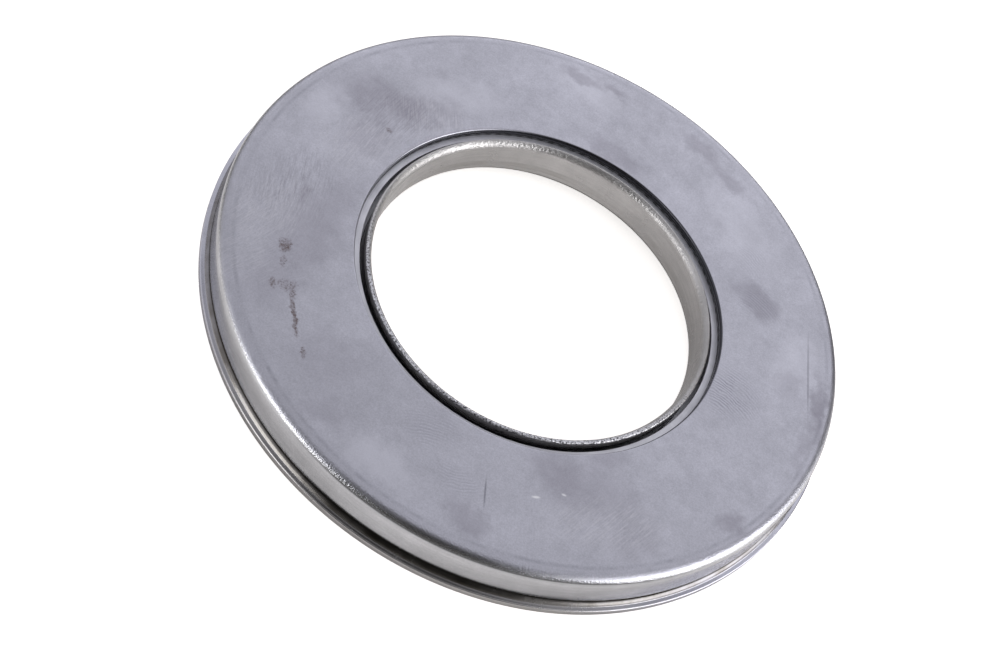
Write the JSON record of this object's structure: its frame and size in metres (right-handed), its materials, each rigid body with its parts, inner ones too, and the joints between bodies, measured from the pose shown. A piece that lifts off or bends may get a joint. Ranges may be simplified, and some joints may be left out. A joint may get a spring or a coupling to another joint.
{
  "type": "thrust ball bearing",
  "caption": "Flat ring bearing: a pressed cap turns on a flanged casing with a collared bore, carried by caged balls between two grooved races.",
  "frame": {"origin": "on the bore's axis, at the underside of the flange, which is the part's lowest face", "axes": "+Z along the bore's axis from the flange to the cap's face; +X through the first ball"},
  "size_m": [0.134, 0.134, 0.0106],
  "materials": {
    "cap_steel": "satin",
    "casing_steel": "satin",
    "race_steel": "ground",
    "cage_brass": "turned",
    "ball_steel": "polished"
  },
  "bodies": {
    "lower": {"lower_casing": "casing_steel", "lower_race": "race_steel"},
    "upper": {"upper_cap": "cap_steel", "upper_race": "race_steel"},
    "cage": {"ball_cage": "cage_brass"},
    "ball_01": {"ball_01": "ball_steel"},
    "ball_02": {"ball_02": "ball_steel"},
    "ball_03": {"ball_03": "ball_steel"},
    "ball_04": {"ball_04": "ball_steel"},
    "ball_05": {"ball_05": "ball_steel"},
    "ball_06": {"ball_06": "ball_steel"},
    "ball_07": {"ball_07": "ball_steel"},
    "ball_08": {"ball_08": "ball_steel"},
    "ball_09": {"ball_09": "ball_steel"},
    "ball_10": {"ball_10": "ball_steel"},
    "ball_11": {"ball_11": "ball_steel"},
    "ball_12": {"ball_12": "ball_steel"},
    "ball_13": {"ball_13": "ball_steel"},
    "ball_14": {"ball_14": "ball_steel"},
    "ball_15": {"ball_15": "ball_steel"},
    "ball_16": {"ball_16": "ball_steel"},
    "ball_17": {"ball_17": "ball_steel"},
    "ball_18": {"ball_18": "ball_steel"},
    "ball_19": {"ball_19": "ball_steel"},
    "ball_20": {"ball_20": "ball_steel"},
    "ball_21": {"ball_21": "ball_steel"},
    "ball_22": {"ball_22": "ball_steel"},
    "ball_23": {"ball_23": "ball_steel"},
    "ball_24": {"ball_24": "ball_steel"},
    "ball_25": {"ball_25": "ball_steel"},
    "ball_26": {"ball_26": "ball_steel"},
    "ball_27": {"ball_27": "ball_steel"},
    "ball_28": {"ball_28": "ball_steel"},
    "ball_29": {"ball_29": "ball_steel"},
    "ball_30": {"ball_30": "ball_steel"},
    "ball_31": {"ball_31": "ball_steel"},
    "ball_32": {"ball_32": "ball_steel"},
    "ball_33": {"ball_33": "ball_steel"},
    "ball_34": {"ball_34": "ball_steel"},
    "ball_35": {"ball_35": "ball_steel"},
    "ball_36": {"ball_36": "ball_steel"}
  },
  "joints": [
    {"name": "upper_spin", "type": "hinge", "parent": "lower", "child": "upper", "pos_m": [0, 0, 0.00595], "axis": [0, 0, 1], "continuous": true},
    {"name": "cage_spin", "type": "hinge", "parent": "lower", "child": "cage", "pos_m": [0, 0, 0.00595], "axis": [0, 0, 1], "continuous": true},
    {"name": "ball_01_roll", "type": "hinge", "parent": "cage", "child": "ball_01", "pos_m": [0.05075, 0, 0.00595], "axis": [1, 0, 0], "continuous": true},
    {"name": "ball_02_roll", "type": "hinge", "parent": "cage", "child": "ball_02", "pos_m": [0.04998, 0.00881, 0.00595], "axis": [0.9848, 0.1736, 0], "continuous": true},
    {"name": "ball_03_roll", "type": "hinge", "parent": "cage", "child": "ball_03", "pos_m": [0.04769, 0.01736, 0.00595], "axis": [0.9397, 0.342, 0], "continuous": true},
    {"name": "ball_04_roll", "type": "hinge", "parent": "cage", "child": "ball_04", "pos_m": [0.04395, 0.02538, 0.00595], "axis": [0.866, 0.5, 0], "continuous": true},
    {"name": "ball_05_roll", "type": "hinge", "parent": "cage", "child": "ball_05", "pos_m": [0.03888, 0.03262, 0.00595], "axis": [0.766, 0.6428, 0], "continuous": true},
    {"name": "ball_06_roll", "type": "hinge", "parent": "cage", "child": "ball_06", "pos_m": [0.03262, 0.03888, 0.00595], "axis": [0.6428, 0.766, 0], "continuous": true},
    {"name": "ball_07_roll", "type": "hinge", "parent": "cage", "child": "ball_07", "pos_m": [0.02538, 0.04395, 0.00595], "axis": [0.5, 0.866, 0], "continuous": true},
    {"name": "ball_08_roll", "type": "hinge", "parent": "cage", "child": "ball_08", "pos_m": [0.01736, 0.04769, 0.00595], "axis": [0.342, 0.9397, 0], "continuous": true},
    {"name": "ball_09_roll", "type": "hinge", "parent": "cage", "child": "ball_09", "pos_m": [0.00881, 0.04998, 0.00595], "axis": [0.1736, 0.9848, 0], "continuous": true},
    {"name": "ball_10_roll", "type": "hinge", "parent": "cage", "child": "ball_10", "pos_m": [0, 0.05075, 0.00595], "axis": [0, 1, 0], "continuous": true},
    {"name": "ball_11_roll", "type": "hinge", "parent": "cage", "child": "ball_11", "pos_m": [-0.00881, 0.04998, 0.00595], "axis": [-0.1736, 0.9848, 0], "continuous": true},
    {"name": "ball_12_roll", "type": "hinge", "parent": "cage", "child": "ball_12", "pos_m": [-0.01736, 0.04769, 0.00595], "axis": [-0.342, 0.9397, 0], "continuous": true},
    {"name": "ball_13_roll", "type": "hinge", "parent": "cage", "child": "ball_13", "pos_m": [-0.02538, 0.04395, 0.00595], "axis": [-0.5, 0.866, 0], "continuous": true},
    {"name": "ball_14_roll", "type": "hinge", "parent": "cage", "child": "ball_14", "pos_m": [-0.03262, 0.03888, 0.00595], "axis": [-0.6428, 0.766, 0], "continuous": true},
    {"name": "ball_15_roll", "type": "hinge", "parent": "cage", "child": "ball_15", "pos_m": [-0.03888, 0.03262, 0.00595], "axis": [-0.766, 0.6428, 0], "continuous": true},
    {"name": "ball_16_roll", "type": "hinge", "parent": "cage", "child": "ball_16", "pos_m": [-0.04395, 0.02538, 0.00595], "axis": [-0.866, 0.5, 0], "continuous": true},
    {"name": "ball_17_roll", "type": "hinge", "parent": "cage", "child": "ball_17", "pos_m": [-0.04769, 0.01736, 0.00595], "axis": [-0.9397, 0.342, 0], "continuous": true},
    {"name": "ball_18_roll", "type": "hinge", "parent": "cage", "child": "ball_18", "pos_m": [-0.04998, 0.00881, 0.00595], "axis": [-0.9848, 0.1736, 0], "continuous": true},
    {"name": "ball_19_roll", "type": "hinge", "parent": "cage", "child": "ball_19", "pos_m": [-0.05075, 0, 0.00595], "axis": [-1, 0, 0], "continuous": true},
    {"name": "ball_20_roll", "type": "hinge", "parent": "cage", "child": "ball_20", "pos_m": [-0.04998, -0.00881, 0.00595], "axis": [-0.9848, -0.1736, 0], "continuous": true},
    {"name": "ball_21_roll", "type": "hinge", "parent": "cage", "child": "ball_21", "pos_m": [-0.04769, -0.01736, 0.00595], "axis": [-0.9397, -0.342, 0], "continuous": true},
    {"name": "ball_22_roll", "type": "hinge", "parent": "cage", "child": "ball_22", "pos_m": [-0.04395, -0.02538, 0.00595], "axis": [-0.866, -0.5, 0], "continuous": true},
    {"name": "ball_23_roll", "type": "hinge", "parent": "cage", "child": "ball_23", "pos_m": [-0.03888, -0.03262, 0.00595], "axis": [-0.766, -0.6428, 0], "continuous": true},
    {"name": "ball_24_roll", "type": "hinge", "parent": "cage", "child": "ball_24", "pos_m": [-0.03262, -0.03888, 0.00595], "axis": [-0.6428, -0.766, 0], "continuous": true},
    {"name": "ball_25_roll", "type": "hinge", "parent": "cage", "child": "ball_25", "pos_m": [-0.02538, -0.04395, 0.00595], "axis": [-0.5, -0.866, 0], "continuous": true},
    {"name": "ball_26_roll", "type": "hinge", "parent": "cage", "child": "ball_26", "pos_m": [-0.01736, -0.04769, 0.00595], "axis": [-0.342, -0.9397, 0], "continuous": true},
    {"name": "ball_27_roll", "type": "hinge", "parent": "cage", "child": "ball_27", "pos_m": [-0.00881, -0.04998, 0.00595], "axis": [-0.1736, -0.9848, 0], "continuous": true},
    {"name": "ball_28_roll", "type": "hinge", "parent": "cage", "child": "ball_28", "pos_m": [0, -0.05075, 0.00595], "axis": [0, -1, 0], "continuous": true},
    {"name": "ball_29_roll", "type": "hinge", "parent": "cage", "child": "ball_29", "pos_m": [0.00881, -0.04998, 0.00595], "axis": [0.1736, -0.9848, 0], "continuous": true},
    {"name": "ball_30_roll", "type": "hinge", "parent": "cage", "child": "ball_30", "pos_m": [0.01736, -0.04769, 0.00595], "axis": [0.342, -0.9397, 0], "continuous": true},
    {"name": "ball_31_roll", "type": "hinge", "parent": "cage", "child": "ball_31", "pos_m": [0.02538, -0.04395, 0.00595], "axis": [0.5, -0.866, 0], "continuous": true},
    {"name": "ball_32_roll", "type": "hinge", "parent": "cage", "child": "ball_32", "pos_m": [0.03262, -0.03888, 0.00595], "axis": [0.6428, -0.766, 0], "continuous": true},
    {"name": "ball_33_roll", "type": "hinge", "parent": "cage", "child": "ball_33", "pos_m": [0.03888, -0.03262, 0.00595], "axis": [0.766, -0.6428, 0], "continuous": true},
    {"name": "ball_34_roll", "type": "hinge", "parent": "cage", "child": "ball_34", "pos_m": [0.04395, -0.02538, 0.00595], "axis": [0.866, -0.5, 0], "continuous": true},
    {"name": "ball_35_roll", "type": "hinge", "parent": "cage", "child": "ball_35", "pos_m": [0.04769, -0.01736, 0.00595], "axis": [0.9397, -0.342, 0], "continuous": true},
    {"name": "ball_36_roll", "type": "hinge", "parent": "cage", "child": "ball_36", "pos_m": [0.04998, -0.00881, 0.00595], "axis": [0.9848, -0.1736, 0], "continuous": true}
  ],
  "couplings": [
    {"joint": "cage_spin", "follows": "upper_spin", "ratio": 0.5},
    {"joint": "ball_01_roll", "follows": "upper_spin", "ratio": -10.15},
    {"joint": "ball_02_roll", "follows": "upper_spin", "ratio": -10.15},
    {"joint": "ball_03_roll", "follows": "upper_spin", "ratio": -10.15},
    {"joint": "ball_04_roll", "follows": "upper_spin", "ratio": -10.15},
    {"joint": "ball_05_roll", "follows": "upper_spin", "ratio": -10.15},
    {"joint": "ball_06_roll", "follows": "upper_spin", "ratio": -10.15},
    {"joint": "ball_07_roll", "follows": "upper_spin", "ratio": -10.15},
    {"joint": "ball_08_roll", "follows": "upper_spin", "ratio": -10.15},
    {"joint": "ball_09_roll", "follows": "upper_spin", "ratio": -10.15},
    {"joint": "ball_10_roll", "follows": "upper_spin", "ratio": -10.15},
    {"joint": "ball_11_roll", "follows": "upper_spin", "ratio": -10.15},
    {"joint": "ball_12_roll", "follows": "upper_spin", "ratio": -10.15},
    {"joint": "ball_13_roll", "follows": "upper_spin", "ratio": -10.15},
    {"joint": "ball_14_roll", "follows": "upper_spin", "ratio": -10.15},
    {"joint": "ball_15_roll", "follows": "upper_spin", "ratio": -10.15},
    {"joint": "ball_16_roll", "follows": "upper_spin", "ratio": -10.15},
    {"joint": "ball_17_roll", "follows": "upper_spin", "ratio": -10.15},
    {"joint": "ball_18_roll", "follows": "upper_spin", "ratio": -10.15},
    {"joint": "ball_19_roll", "follows": "upper_spin", "ratio": -10.15},
    {"joint": "ball_20_roll", "follows": "upper_spin", "ratio": -10.15},
    {"joint": "ball_21_roll", "follows": "upper_spin", "ratio": -10.15},
    {"joint": "ball_22_roll", "follows": "upper_spin", "ratio": -10.15},
    {"joint": "ball_23_roll", "follows": "upper_spin", "ratio": -10.15},
    {"joint": "ball_24_roll", "follows": "upper_spin", "ratio": -10.15},
    {"joint": "ball_25_roll", "follows": "upper_spin", "ratio": -10.15},
    {"joint": "ball_26_roll", "follows": "upper_spin", "ratio": -10.15},
    {"joint": "ball_27_roll", "follows": "upper_spin", "ratio": -10.15},
    {"joint": "ball_28_roll", "follows": "upper_spin", "ratio": -10.15},
    {"joint": "ball_29_roll", "follows": "upper_spin", "ratio": -10.15},
    {"joint": "ball_30_roll", "follows": "upper_spin", "ratio": -10.15},
    {"joint": "ball_31_roll", "follows": "upper_spin", "ratio": -10.15},
    {"joint": "ball_32_roll", "follows": "upper_spin", "ratio": -10.15},
    {"joint": "ball_33_roll", "follows": "upper_spin", "ratio": -10.15},
    {"joint": "ball_34_roll", "follows": "upper_spin", "ratio": -10.15},
    {"joint": "ball_35_roll", "follows": "upper_spin", "ratio": -10.15},
    {"joint": "ball_36_roll", "follows": "upper_spin", "ratio": -10.15}
  ]
}
